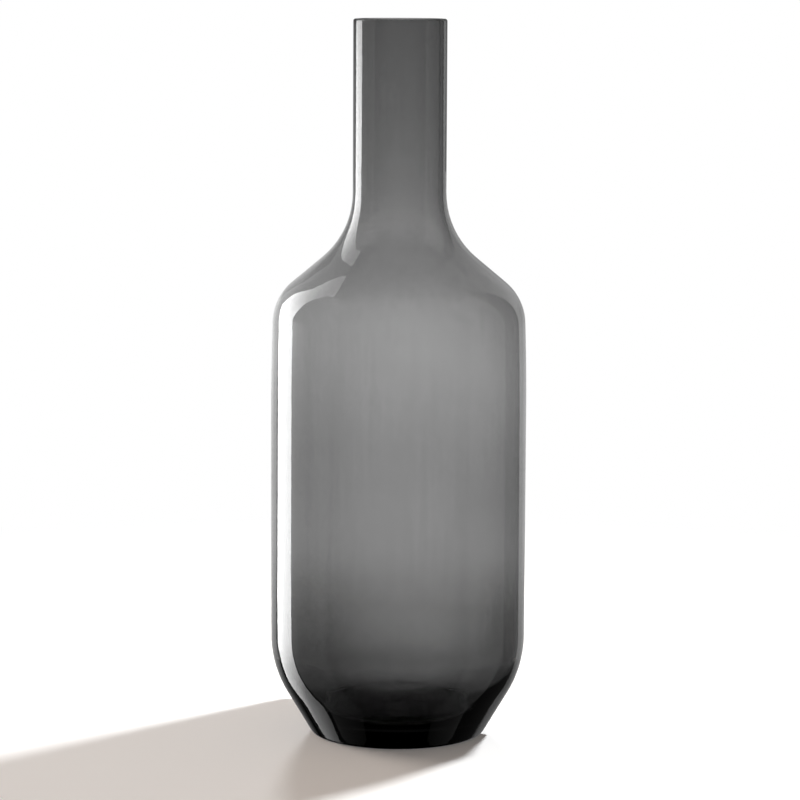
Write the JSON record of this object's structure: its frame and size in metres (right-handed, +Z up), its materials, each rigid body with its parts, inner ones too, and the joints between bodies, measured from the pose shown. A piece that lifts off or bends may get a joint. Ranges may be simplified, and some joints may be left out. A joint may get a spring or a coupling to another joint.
{
  "type": "bottle vase",
  "caption": "Tall bottle-shaped flower vase of smoke-grey blown glass: straight cylindrical body on a tapered foot, sloping shoulder and a long open neck for stems.",
  "frame": {"origin": "middle of the resting ring, on the surface that the vase stands on", "axes": "+Z up along the axis of the body and neck; X and Y are free, because the vase is round"},
  "size_m": [0.178, 0.178, 0.5],
  "materials": {
    "smoke_glass": "fire-polished smoke-grey glass, coloured through"
  },
  "bodies": {
    "root": {"glass_vessel": "smoke_glass"}
  },
  "joints": []
}
